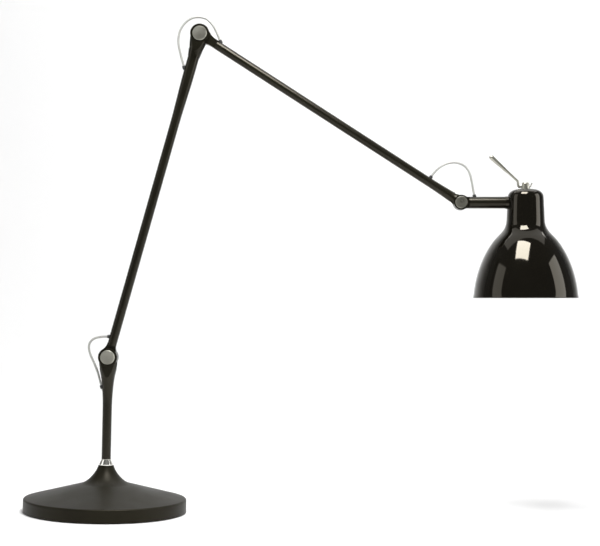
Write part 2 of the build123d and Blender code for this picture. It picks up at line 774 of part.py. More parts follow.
def lamp_glass(neck, cap_end):
    """Round glass of the lamp, open where its neck is cemented into the cap."""
    edges = []
    for wall in (0.0, lamp_glass_wall):
        ball = lamp_glass_radius - wall
        centre = -lamp_glass_drop
        top = Line(at(neck - wall, cap_end + 4.0), at(neck - wall, cap_end))
        flow = Spline(at(neck - wall, cap_end), at(ball, centre), tangents=[(0, 0, -1), (0, 0, -1)])
        lower = ThreePointArc(
            at(ball, centre), at(ball * math.sin(math.pi / 4), centre - ball * math.cos(math.pi / 4)),
            at(0, centre - ball),
        )
        edges += [top, flow, lower]
    edges.append(Line(at(neck, cap_end + 4.0), at(neck - lamp_glass_wall, cap_end + 4.0)))
    bottom = -lamp_glass_drop - lamp_glass_radius
    edges.append(Line(at(0, bottom), at(0, bottom + lamp_glass_wall)))
    return turned(*edges)


def make_switch():
    """Rotary switch under the dome, and the lever that turns it."""
    module_top = shade_top - shade_wall - 3.0
    module_bottom = module_top - switch_height
    bush_top = shade_top + switch_nut_height - face_gap
    shaft_hole = upright(shaft_radius + running_gap, module_bottom + 2, bush_top + 1)
    module = upright(switch_radius, module_bottom, module_top)
    module = chamfer(module.edges().filter_by(GeomType.CIRCLE), 0.6)
    module += upright(switch_bush_radius + 1.0, module_top, shade_top - shade_wall - face_gap)
    module += upright(switch_bush_radius, module_top, bush_top)
    keep("switch_body", module - shaft_hole, shade_frame)
    nut = sleeve(switch_nut_radius, switch_bush_radius, shade_top, shade_top + switch_nut_height)
    keep("switch_nut", nut, shade_frame)

    plate_low = shade_top + switch_nut_height + face_gap
    plate_high = plate_low + lever_plate_thickness
    middle = (plate_low + plate_high) / 2
    nut_top = plate_high + hub_nut_height
    shaft = upright(shaft_radius, module_bottom + 2 + face_gap, nut_top - 2)
    keep("switch_shaft", shaft, shade_frame)

    plate = upright(lever_plate_radius, plate_low, plate_high)
    plate += Pos(-lever_plate_radius, 0, middle) * Box(6.0, 4.4, lever_plate_thickness)
    bend = at(lever_rise[0], middle + lever_rise[1])
    tip = at(*lever_tip)
    reach = tip - bend
    rod_path = FilletPolyline(
        at(-lever_plate_radius - 1.0, middle), at(lever_foot, middle), bend, bend + reach * 0.3,
        radius=list(lever_bends),
    )
    rod_section = Plane(rod_path @ 0, z_dir=(-1, 0, 0)) * Circle(lever_root_radius)
    lever = plate + sweep(rod_section, rod_path)
    handle_length = reach.length - lever_tip_radius
    low = (Align.CENTER, Align.CENTER, Align.MIN)
    handle = Pos(0, 0, 0.2 * handle_length) * Cone(
        lever_root_radius, lever_tip_radius, 0.8 * handle_length, align=low
    )
    handle += Pos(0, 0, handle_length) * Sphere(lever_tip_radius)
    lever += Plane(bend, z_dir=reach) * handle
    stub_path = FilletPolyline(
        at(lever_plate_radius - 1.5, middle), at(stub_foot, middle), at(stub_tip[0], middle + stub_tip[1]),
        radius=stub_bend,
    )
    lever += sweep(Plane(stub_path @ 0, z_dir=(1, 0, 0)) * Circle(stub_radius), stub_path)
    lever -= upright(shaft_radius, 0, nut_top)
    keep("switch_lever", lever, shade_frame)

    dome_edge = at(hub_nut_radius, plate_high + 0.55 * hub_nut_height)
    hub = turned(
        Line(at(0, plate_high), at(hub_nut_radius, plate_high)),
        Line(at(hub_nut_radius, plate_high), dome_edge),
        Spline(dome_edge, at(0, nut_top), tangents=[(0, 0, 1), (-1, 0, 0)]),
        Line(at(0, nut_top), at(0, plate_high)),
    )
    for index in range(knurl_count):
        turn = 360 * index / knurl_count
        hub -= Rot(0, 0, turn) * Pos(hub_nut_radius + 0.1, 0, 0) * upright(knurl_radius, 0, nut_top)
    hub -= upright(shaft_radius, 0, nut_top - 2)
    keep("hub_nut", hub, shade_frame)


def make_flex():
    """Every length of the flex, from the terminal block to the lampholder."""
    print("bend radii:", ", ".join(f"{radius:.1f}" for radius in flex_radii))
    for name, (first, last) in flex_parts.items():
        tube, length = flex_tube(first, last, cable_diameter)
        expected = math.pi * cable_diameter ** 2 / 4 * length
        print(f"{name}: {length:.1f} mm long, volume {tube.volume:.1f}, section times length {expected:.1f}")
        keep(name, tube)


def main():
    """Build every piece and write one STEP file for each."""
    make_foot()
    make_swivel()
    make_arms()
    make_pivots()
    make_shade()
    make_switch()
    make_flex()
    os.makedirs("parts", exist_ok=True)
    for name, solid in nodes.items():
        export_step(solid, f"parts/{name}.step")
    print(len(nodes), "nodes")


main()
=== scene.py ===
"""Looks of a jointed desk lamp: finishes, spun skins, flexes, bushes, lights and camera."""

import logging
import math
from dataclasses import dataclass
from enum import Enum

import bpy
from mathutils import Matrix, Vector


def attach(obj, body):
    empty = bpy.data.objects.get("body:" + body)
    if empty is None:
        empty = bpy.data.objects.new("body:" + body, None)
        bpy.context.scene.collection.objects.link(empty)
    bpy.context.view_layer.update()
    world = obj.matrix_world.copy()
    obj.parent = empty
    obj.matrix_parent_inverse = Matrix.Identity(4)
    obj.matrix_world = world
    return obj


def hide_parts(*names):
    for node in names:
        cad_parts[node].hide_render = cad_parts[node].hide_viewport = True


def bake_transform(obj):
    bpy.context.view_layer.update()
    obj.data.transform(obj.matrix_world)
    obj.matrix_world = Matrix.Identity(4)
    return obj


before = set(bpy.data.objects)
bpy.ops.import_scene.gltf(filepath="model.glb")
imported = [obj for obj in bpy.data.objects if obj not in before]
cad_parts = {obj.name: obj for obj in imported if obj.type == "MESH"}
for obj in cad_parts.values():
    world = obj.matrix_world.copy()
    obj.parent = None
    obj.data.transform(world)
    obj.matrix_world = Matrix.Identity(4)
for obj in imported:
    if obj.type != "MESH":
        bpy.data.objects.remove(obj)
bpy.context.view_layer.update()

log = logging.getLogger("desk_lamp")

Point = tuple[float, float]
Colour = tuple[float, float, float]
Tree = bpy.types.NodeTree
Socket = bpy.types.NodeSocket

MM = 0.001
MERGE_DISTANCE = 0.000005
SEED_SIZE = 0.001
SMOOTH_ANGLE = 32.0
ROUND_ANGLE = 50.0
SOFT_ANGLE = 60.0
PATCHES_PER_METRE = 22.0
BUMP_STRENGTH = 0.6


class Body(Enum):
    """Bodies of the lamp that a piece can move with."""

    BASE = "base"
    POST = "post"
    LOWER_ARM = "lower_arm"
    UPPER_ARM = "upper_arm"
    FOREARM = "forearm"
    HEAD = "head"
    LEVER = "lever"


class Pattern(Enum):
    """How a finish varies over the surface."""

    SPRAYED = "even film with a faint peel"
    BRUSHED = "fine lines round the axis"
    CAST = "coarse sand-cast skin"
    MOULDED = "soft mottled moulding"
    FIBRE = "matted fibres"
    TWISTED = "twisted cores under a clear sheath"


@dataclass(frozen=True)
class Finish:
    """One finish of the lamp, made as a procedural material at real scale.

    Attributes:
        name: Name of the material.
        slot: Material slot that the finish stands for; not used.
        colour: Main colour, linear.
        shade: Colour of the darker patches, linear.
        roughness: Mean roughness.
        spread: How far the roughness strays from the mean.
        grain: Features in a metre of the fine pattern.
        relief: Depth of the fine pattern, in metres.
        pattern: How the finish varies.
        metallic: Share of metal.
        coat: Weight of the clear coat.
        coat_roughness: Roughness of the clear coat.
        sheen: Weight of the fibre sheen.
        clear: Share of light that passes through.
        glint: Colour of the reflections.
        gloss: Strength of the reflections, 0.5 for most clear films.
    """

    name: str
    slot: str
    colour: Colour
    shade: Colour
    roughness: float
    spread: float
    grain: float
    relief: float
    pattern: Pattern = Pattern.SPRAYED
    metallic: float = 0.0
    coat: float = 0.0
    coat_roughness: float = 0.05
    sheen: float = 0.0
    clear: float = 0.0
    glint: Colour = (1.0, 1.0, 1.0)
    gloss: float = 0.5

    def material(self) -> bpy.types.Material:
        """Make the material, or give the one that was made before.

        Returns:
            The procedural material.
        """
        made = bpy.data.materials.get(self.name)
        if made is not None:
            return made
        made = bpy.data.materials.new(self.name)
        made.use_nodes = True
        made.diffuse_color = (*self.colour, 1.0)
        tree = made.node_tree
        shader = tree.nodes["Principled BSDF"]
        shader.inputs["Metallic"].default_value = self.metallic
        shader.inputs["Coat Weight"].default_value = self.coat
        shader.inputs["Coat Roughness"].default_value = self.coat_roughness
        shader.inputs["Sheen Weight"].default_value = self.sheen
        shader.inputs["Transmission Weight"].default_value = self.clear
        shader.inputs["Specular Tint"].default_value = (*self.glint, 1.0)
        shader.inputs["Specular IOR Level"].default_value = self.gloss
        fine, broad = self._patterns(tree)
        self._tint(tree, shader, fine if self.pattern is Pattern.TWISTED else broad)
        self._roughen(tree, shader, broad)
        self._emboss(tree, shader, fine)
        return made

    def _patterns(self, tree: Tree) -> tuple[Socket, Socket]:
        """Add the fine pattern and the broad patches.

        Args:
            tree: Node tree of the material.

        Returns:
            The outputs of the fine and of the broad pattern, both from 0 to 1.
        """
        place = tree.nodes.new("ShaderNodeTexCoord")
        broad = tree.nodes.new("ShaderNodeTexNoise")
        broad.inputs["Scale"].default_value = PATCHES_PER_METRE
        broad.inputs["Detail"].default_value = 3.0
        tree.links.new(place.outputs["Object"], broad.inputs["Vector"])
        if self.pattern is Pattern.TWISTED:
            fine = tree.nodes.new("ShaderNodeTexWave")
            fine.bands_direction = "DIAGONAL"
            fine.inputs["Scale"].default_value = self.grain
            fine.inputs["Distortion"].default_value = 0.4
            tree.links.new(place.outputs["UV"], fine.inputs["Vector"])
            return fine.outputs["Fac"], broad.outputs["Fac"]
        if self.pattern is Pattern.CAST:
            fine = tree.nodes.new("ShaderNodeTexVoronoi")
            fine.inputs["Scale"].default_value = self.grain
            tree.links.new(place.outputs["Object"], fine.inputs["Vector"])
            return fine.outputs["Distance"], broad.outputs["Fac"]
        fine = tree.nodes.new("ShaderNodeTexNoise")
        fine.inputs["Scale"].default_value = self.grain
        fine.inputs["Detail"].default_value = 6.0 if self.pattern is Pattern.FIBRE else 2.0
        stretch = tree.nodes.new("ShaderNodeMapping")
        long_way = 0.06 if self.pattern in (Pattern.BRUSHED, Pattern.FIBRE) else 1.0
        stretch.inputs["Scale"].default_value = (1.0, long_way, 1.0)
        tree.links.new(place.outputs["Object"], stretch.inputs["Vector"])
        tree.links.new(stretch.outputs["Vector"], fine.inputs["Vector"])
        return fine.outputs["Fac"], broad.outputs["Fac"]

    def _tint(self, tree: Tree, shader: bpy.types.Node, pattern: Socket) -> None:
        """Let a pattern lead from the darker colour to the main one.

        Args:
            tree: Node tree of the material.
            shader: Its Principled BSDF.
            pattern: Output of the pattern.
        """
        ramp = tree.nodes.new("ShaderNodeValToRGB")
        ramp.color_ramp.elements[0].position = 0.32
        ramp.color_ramp.elements[0].color = (*self.shade, 1.0)
        ramp.color_ramp.elements[1].position = 0.62
        ramp.color_ramp.elements[1].color = (*self.colour, 1.0)
        tree.links.new(pattern, ramp.inputs["Fac"])
        tree.links.new(ramp.outputs["Color"], shader.inputs["Base Color"])

    def _roughen(self, tree: Tree, shader: bpy.types.Node, pattern: Socket) -> None:
        """Let a pattern move the roughness about its mean.

        Args:
            tree: Node tree of the material.
            shader: Its Principled BSDF.
            pattern: Output of the pattern.
        """
        reach = tree.nodes.new("ShaderNodeMapRange")
        reach.inputs["From Min"].default_value = 0.3
        reach.inputs["From Max"].default_value = 0.7
        reach.inputs["To Min"].default_value = self.roughness - self.spread
        reach.inputs["To Max"].default_value = self.roughness + self.spread
        tree.links.new(pattern, reach.inputs["Value"])
        tree.links.new(reach.outputs["Result"], shader.inputs["Roughness"])

    def _emboss(self, tree: Tree, shader: bpy.types.Node, pattern: Socket) -> None:
        """Give the fine pattern its depth.

        Args:
            tree: Node tree of the material.
            shader: Its Principled BSDF.
            pattern: Output of the fine pattern.
        """
        bump = tree.nodes.new("ShaderNodeBump")
        bump.inputs["Distance"].default_value = self.relief
        bump.inputs["Strength"].default_value = BUMP_STRENGTH
        tree.links.new(pattern, bump.inputs["Height"])
        tree.links.new(bump.outputs["Normal"], shader.inputs["Normal"])

    def dress(self, piece: bpy.types.Object) -> None:
        """Give a piece this finish alone.

        Args:
            piece: Mesh to dress.
        """
        piece.data.materials.clear()
        piece.data.materials.append(self.material())


WARM = (1.0, 0.92, 0.76)

FOOT_ENAMEL = Finish(
    name="foot enamel",
    slot="foot_enamel",
    colour=(0.0100, 0.0088, 0.0048),
    shade=(0.0075, 0.0066, 0.0036),
    roughness=0.45,
    spread=0.04,
    grain=900.0,
    relief=0.00002,
    glint=WARM,
    gloss=0.16,
)
SHADE_ENAMEL = Finish(
    name="shade enamel",
    slot="shade_enamel",
    colour=(0.0028, 0.0024, 0.0015),
    shade=(0.0020, 0.0017, 0.0011),
    roughness=0.06,
    spread=0.015,
    grain=260.0,
    relief=0.000002,
    glint=WARM,
)
SHADE_WHITE = Finish(
    name="shade inner white",
    slot="shade_enamel",
    colour=(0.80, 0.79, 0.75),
    shade=(0.76, 0.75, 0.70),
    roughness=0.42,
    spread=0.04,
    grain=500.0,
    relief=0.00001,
)
ARM_ENAMEL = Finish(
    name="arm enamel",
    slot="arm_enamel",
    colour=(0.0075, 0.0070, 0.0040),
    shade=(0.0055, 0.0050, 0.0030),
    roughness=0.24,
    spread=0.04,
    grain=700.0,
    relief=0.00001,
    glint=WARM,
    gloss=0.34,
)
CAST_IRON = Finish(
    name="cast iron",
    slot="cast_iron",
    colour=(0.085, 0.082, 0.078),
    shade=(0.045, 0.043, 0.040),
    roughness=0.72,
    spread=0.10,
    grain=420.0,
    relief=0.0003,
    pattern=Pattern.CAST,
    metallic=0.6,
)
CHROME = Finish(
    name="chrome plate",
    slot="chrome",
    colour=(0.90, 0.89, 0.84),
    shade=(0.84, 0.83, 0.78),
    roughness=0.14,
    spread=0.04,
    grain=900.0,
    relief=0.000002,
    metallic=1.0,
)
NICKEL = Finish(
    name="worn nickel",
    slot="nickel",
    colour=(0.58, 0.57, 0.50),
    shade=(0.36, 0.35, 0.29),
    roughness=0.32,
    spread=0.09,
    grain=1800.0,
    relief=0.00001,
    pattern=Pattern.BRUSHED,
    metallic=1.0,
)
STEEL = Finish(
    name="zinc plate",
    slot="steel",
    colour=(0.48, 0.48, 0.46),
    shade=(0.38, 0.38, 0.36),
    roughness=0.36,
    spread=0.08,
    grain=1500.0,
    relief=0.00001,
    pattern=Pattern.BRUSHED,
    metallic=1.0,
)
BRASS = Finish(
    name="machined brass",
    slot="brass",
    colour=(0.62, 0.43, 0.17),
    shade=(0.48, 0.32, 0.12),
    roughness=0.28,
    spread=0.06,
    grain=1600.0,
    relief=0.00001,
    pattern=Pattern.BRUSHED,
    metallic=1.0,
)
NYLON = Finish(
    name="pale nylon",
    slot="friction_fibre",
    colour=(0.52, 0.51, 0.45),
    shade=(0.44, 0.43, 0.38),
    roughness=0.50,
    spread=0.06,
    grain=900.0,
    relief=0.00002,
    pattern=Pattern.MOULDED,
)
FELT = Finish(
    name="dark felt",
    slot="felt",
    colour=(0.020, 0.021, 0.018),
    shade=(0.011, 0.012, 0.010),
    roughness=0.95,
    spread=0.04,
    grain=2600.0,
    relief=0.0003,
    pattern=Pattern.FIBRE,
    sheen=0.6,
)
RUBBER = Finish(
    name="moulded rubber",
    slot="rubber",
    colour=(0.018, 0.018, 0.018),
    shade=(0.012, 0.012, 0.012),
    roughness=0.62,
    spread=0.08,
    grain=800.0,
    relief=0.00003,
    pattern=Pattern.MOULDED,
)
SHEATH = Finish(
    name="clear grey sheath",
    slot="flex_sheath",
    colour=(0.52, 0.52, 0.49),
    shade=(0.32, 0.32, 0.30),
    roughness=0.26,
    spread=0.05,
    grain=240.0,
    relief=0.00004,
    pattern=Pattern.TWISTED,
    coat=0.4,
    coat_roughness=0.12,
    clear=0.1,
)
PHENOLIC = Finish(
    name="moulded phenolic",
    slot="holder_plastic",
    colour=(0.014, 0.011, 0.009),
    shade=(0.009, 0.007, 0.006),
    roughness=0.24,
    spread=0.05,
    grain=300.0,
    relief=0.00001,
    pattern=Pattern.MOULDED,
    coat=0.3,
    coat_roughness=0.15,
)
OPAL = Finish(
    name="opal glass",
    slot="glass",
    colour=(0.90, 0.90, 0.86),
    shade=(0.86, 0.86, 0.82),
    roughness=0.30,
    spread=0.04,
    grain=300.0,
    relief=0.000004,
    clear=0.35,
)

SINGLE_FINISHES: dict[str, Finish] = {
    "foot_cover": FOOT_ENAMEL, "foot_weight": CAST_IRON, "foot_plate": STEEL, "foot_screws": STEEL,
    "felt_pad": FELT, "mains_gland": RUBBER, "terminal_block": PHENOLIC, "swivel_bush": BRASS,
    "collar_ring": CHROME, "thrust_washer": NYLON, "post_spigot": STEEL, "spigot_nut": STEEL,
    "post_tube": ARM_ENAMEL, "post_fork": ARM_ENAMEL, "lower_arm_tongue": ARM_ENAMEL,
    "lower_arm_tube": ARM_ENAMEL, "lower_arm_fork": ARM_ENAMEL, "upper_arm_tongue": ARM_ENAMEL,
    "upper_arm_tube": ARM_ENAMEL, "upper_arm_fork": ARM_ENAMEL, "forearm_tongue": ARM_ENAMEL,
    "forearm_tube": ARM_ENAMEL, "forearm_plug": BRASS, "forearm_nipple": BRASS, "nipple_nut": BRASS,
    "shade": SHADE_ENAMEL, "shade_saddles": SHADE_ENAMEL, "holder_bracket": STEEL, "lampholder_cap": PHENOLIC,
    "holder_nut": STEEL, "lampholder_body": PHENOLIC, "lampholder_contacts": BRASS, "lamp_cap": NICKEL,
    "lamp_glass": OPAL, "switch_body": PHENOLIC, "switch_nut": NICKEL, "switch_shaft": NICKEL,
    "switch_lever": NICKEL, "hub_nut": NICKEL,
}
ARM_JOINTS = ("post", "crown", "elbow")
FLEX_STRETCHES = (
    "foot", "post", "loop_lower", "lower_arm", "loop_crown", "upper_arm", "loop_elbow", "forearm", "head",
)


@dataclass(frozen=True)
class ArmFrame:
    """A leaning frame in the lamp's plane.

    Attributes:
        x: Place of its origin, in millimetres.
        z: Height of its origin, in millimetres.
        lean: Angle of its long direction from upright, towards +X, in degrees.
    """

    x: float
    z: float
    lean: float

    def across_axis(self) -> Vector:
        """Unit vector of the frame's across direction."""
        turn = math.radians(self.lean)
        return Vector((math.cos(turn), 0.0, -math.sin(turn)))

    def along_axis(self) -> Vector:
        """Unit vector of the frame's long direction."""
        turn = math.radians(self.lean)
        return Vector((math.sin(turn), 0.0, math.cos(turn)))

    def place(self, across: float, along: float) -> Vector:
        """Point of the frame in the lamp's own frame.

        Args:
            across: Millimetres across the member.
            along: Millimetres along the member.

        Returns:
            The point, in metres.
        """
        origin = Vector((self.x, 0.0, self.z))
        return (origin + self.across_axis() * across + self.along_axis() * along) * MM


POST = ArmFrame(0.0, 205.0, 0.0)
LOWER = ArmFrame(0.0, 205.0, 14.6)
CROWN = ArmFrame(112.297, 636.114, 14.6)
UPPER = ArmFrame(112.297, 636.114, 121.6)
ELBOW = ArmFrame(463.208, 420.232, 121.6)
FOREARM = ArmFrame(463.208, 420.232, 88.75)
SHADE = ArmFrame(549.188, 422.108, -1.25)

FLEX_ROUTE: tuple[Vector, ...] = (
    Vector((0.0, 40.0, 9.6)) * MM,
    Vector((0.0, 9.0, 9.0)) * MM,
    Vector((0.0, 0.0, 30.0)) * MM,
    POST.place(2.0, -66.0),
    POST.place(-9.8, -34.5),
    POST.place(-13.5, -20.0),
    POST.place(-19.5, -6.5),
    POST.place(-25.5, 6.0),
    POST.place(-26.5, 17.0),
    POST.place(-20.5, 24.5),
    LOWER.place(-16.0, 24.0),
    LOWER.place(1.9, 28.9),
    CROWN.place(1.9, -65.0),
    CROWN.place(-19.9, -29.0),
    CROWN.place(-25.5, -17.0),
    CROWN.place(-27.5, -3.0),
    CROWN.place(-23.5, 10.0),
    CROWN.place(-14.5, 20.0),
    UPPER.place(-22.5, -6.0),
    UPPER.place(-20.8, 4.0),
    UPPER.place(-16.8, 13.9),
    UPPER.place(1.8, 39.5),
    ELBOW.place(1.8, -52.2),
    ELBOW.place(-18.4, -51.2),
    ELBOW.place(-30.0, -46.5),
    ELBOW.place(-39.0, -39.0),
    ELBOW.place(-43.5, -28.5),
    FOREARM.place(-47.0, 7.5),
    FOREARM.place(-36.5, 13.0),
    FOREARM.place(-22.0, 15.5),
    FOREARM.place(3.2, 20.5),
    FOREARM.place(0.0, 44.0),
    SHADE.place(0.0, 0.5),
    SHADE.place(0.3, -19.0),
)


def start_fresh() -> None:
    """Leave edit mode and deselect everything."""
    if bpy.context.object is not None and bpy.context.object.mode != "OBJECT":
        bpy.ops.object.mode_set(mode="OBJECT")
    bpy.ops.object.select_all(action="DESELECT")


def select_only(piece: bpy.types.Object) -> None:
    """Make one object the selected and active one."""
    start_fresh()
    piece.select_set(True)
    bpy.context.view_layer.objects.active = piece


def spin_outline(
    name: str, outline: list[Point], frame_of: ArmFrame, steps: int, closed: bool = True
) -> bpy.types.Object:
    """Draw an outline of radius and height, and spin it round a frame's long direction.

    Args:
        name: Name of the new piece.
        outline: Points of the outline, in millimetres.
        frame_of: Frame whose long direction is the axis.
        steps: Steps of a full turn.
        closed: Whether the outline runs back to its first point.

    Returns:
        The spun mesh, merged and turned outwards.
    """
    start_fresh()
    places = [frame_of.place(radius, height) for radius, height in outline]
    if closed:
        places.append(places[0])
    bpy.ops.mesh.primitive_plane_add(size=SEED_SIZE, location=places[0])
    piece = bpy.context.object
    piece.name = name
    bpy.ops.object.transform_apply(location=True, rotation=True, scale=True)
    bpy.ops.object.mode_set(mode="EDIT")
    bpy.ops.mesh.select_all(action="SELECT")
    bpy.ops.mesh.merge(type="CENTER")
    for before, after in zip(places, places[1:]):
        bpy.ops.mesh.extrude_region_move(TRANSFORM_OT_translate={"value": after - before})
    bpy.ops.mesh.select_all(action="SELECT")
    centre = frame_of.place(0.0, 0.0)
    bpy.ops.mesh.spin(steps=steps, angle=2 * math.pi, center=centre, axis=frame_of.along_axis())
    bpy.ops.mesh.select_all(action="SELECT")
    bpy.ops.mesh.remove_doubles(threshold=MERGE_DISTANCE)
    bpy.ops.mesh.normals_make_consistent(inside=False)
    bpy.ops.object.mode_set(mode="OBJECT")
    return piece


def smooth(piece: bpy.types.Object, degrees: float = SMOOTH_ANGLE) -> None:
    """Shade a piece smooth, with its edges over an angle kept sharp."""
    select_only(piece)
    bpy.ops.object.shade_smooth_by_angle(angle=math.radians(degrees))
    start_fresh()


@dataclass
class Dressing:
    """Finishes of the machined pieces that are shown as they are.

    Attributes:
        single: Finish of each piece that comes once.
        joints: Arm joints, each with its bolt, cap, screw and washers.
        stretches: Stretches of the flex.
    """

    single: dict[str, Finish]
    joints: tuple[str, ...] = ARM_JOINTS
    stretches: tuple[str, ...] = FLEX_STRETCHES

    def finishes(self) -> dict[str, Finish]:
        """Finish of every machined piece, by its name."""
        found = dict(self.single)
        for joint in self.joints:
            for hardware in ("pivot_bolt", "tension_cap", "cap_screw"):
                found[f"{joint}_{hardware}"] = NICKEL
            found[f"{joint}_friction_washers"] = NYLON
        for stretch in self.stretches:
            found[f"cable_{stretch}"] = SHEATH
        return found

    def apply(self) -> None:
        """Give every machined piece its finish."""
        for name, finish in self.finishes().items():
            node = bpy.data.objects[name]
            node.data.materials.clear()
            node.data.materials.append(finish.material())
            log.info("%s dressed in %s", name, finish.name)


@dataclass
class Shade:
    """Spun bell shade, glossy outside and white inside, with a rolled rim.

    Sizes are in millimetres in the shade's own frame.
    """

    wall: float = 1.0
    top_radius: float = 3.2
    top: float = 18.4
    neck_top: Point = (24.0, 4.0)
    neck_bottom: Point = (25.1, -22.0)
    waist: Point = (36.5, -44.4)
    rim: Point = (69.0, -126.8)
    waist_slope: Point = (0.7, -0.71)
    rim_slope: Point = (0.06, -1.0)
    dome_reach: Point = (19.0, 7.5)
    shoulder_reach: Point = (11.0, 10.0)
    bell_reach: Point = (25.0, 32.0)
    bead: float = 0.9
    side_hole: float = 5.05
    bead_steps: int = 12
    bead_start: float = 25.0  # degrees above level, at the outer face
    bead_sweep: float = 230.0  # degrees
    bead_margin: float = 1.1  # from the bead's middle to where the walls begin
    bore_middle: float = -25.0
    bore_length: float = 30.0
    bore_sides: int = 64
    look_below: float = 5.0  # how far under a face the point lies that tells out from in
    steps: int = 144
    curve_points: int = 22

    def _flow(
        self, start: Point, leave: Point, end: Point, arrive: Point, reach: Point, wall: float
    ) -> list[Point]:
        """Curve between two points with given directions, moved inwards by a wall.

        Args:
            start: First point.
            leave: Direction at the first point.
            end: Last point.
            arrive: Direction at the last point.
            reach: How far each direction holds.
            wall: How far the curve lies inside the outer face.

        Returns:
            Points along the curve.
        """
        first = Vector(leave).normalized()
        last = Vector(arrive).normalized()
        begin = Vector(start) + Vector((first.y, -first.x)) * wall
        finish = Vector(end) + Vector((last.y, -last.x)) * wall
        corners = [begin, begin + first * reach[0], finish - last * reach[1], finish]
        points = []
        for index in range(self.curve_points + 1):
            t = index / self.curve_points
            weights = [(1 - t) ** 3, 3 * t * (1 - t) ** 2, 3 * t * t * (1 - t), t ** 3]
            spot = sum((corner * weight for corner, weight in zip(corners, weights)), Vector((0.0, 0.0)))
            points.append((spot.x, spot.y))
        return points

    def side(self, wall: float) -> list[Point]:
        """Outline from the top hole to the rim, set in by a wall."""
        neck = (self.neck_bottom[0] - self.neck_top[0], self.neck_bottom[1] - self.neck_top[1])
        top = (self.top_radius, self.top)
        dome = self._flow(top, (1.0, 0.0), self.neck_top, neck, self.dome_reach, wall)
        shoulder = self._flow(self.neck_bottom, neck, self.waist, self.waist_slope, self.shoulder_reach, wall)
        bell = self._flow(self.waist, self.waist_slope, self.rim, self.rim_slope, self.bell_reach, wall)
        return dome + shoulder + bell[1:]

    def outline(self) -> list[Point]:
        """Closed outline of the wall, with the rolled bead at the rim."""
        middle = (self.rim[0] - self.wall / 2, self.rim[1] + self.bead)
        bead = []
        for index in range(self.bead_steps + 1):
            turn = math.radians(self.bead_start - index * self.bead_sweep / self.bead_steps)
            bead.append((middle[0] + self.bead * math.cos(turn), middle[1] + self.bead * math.sin(turn)))
        above = middle[1] + self.bead_margin
        outer = [point for point in self.side(0.0) if point[1] > above]
        inner = [point for point in self.side(self.wall) if point[1] > above]
        return outer + bead + inner[::-1]

    def build(self) -> bpy.types.Object:
        """Spin the wall, bore the side hole and dress both faces.

        Returns:
            The finished shade.
        """
        shell = spin_outline("shade_shell", self.outline(), SHADE, self.steps)
        start_fresh()
        reach = SHADE.across_axis()
        bpy.ops.mesh.primitive_cylinder_add(
            vertices=self.bore_sides, radius=self.side_hole * MM, depth=self.bore_length * MM,
            location=SHADE.place(self.bore_middle, 0.0), rotation=reach.to_track_quat("Z", "Y").to_euler(),
        )
        cutter = bpy.context.object
        select_only(shell)
        bore = shell.modifiers.new("side hole", "BOOLEAN")
        bore.object = cutter
        bore.operation = "DIFFERENCE"
        bore.solver = "EXACT"
        bpy.ops.object.modifier_apply(modifier=bore.name)
        bpy.data.objects.remove(cutter, do_unlink=True)
        smooth(shell)
        self._dress(shell)
        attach(shell, Body.HEAD.value)
        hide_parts("shade")
        return shell

    def _dress(self, shell: bpy.types.Object) -> None:
        """Gloss enamel on the faces that look outwards, white on the rest."""
        shell.data.materials.clear()
        shell.data.materials.append(SHADE_ENAMEL.material())
        shell.data.materials.append(SHADE_WHITE.material())
        axis = SHADE.along_axis()
        origin = SHADE.place(0.0, 0.0)
        for face in shell.data.polygons:
            spot = face.center - origin
            height = spot.dot(axis)
            inside = axis * (min(height, 0.0) - self.look_below * MM)
            looks_out = face.normal.dot(spot - inside) > 0
            face.material_index = 0 if looks_out else 1


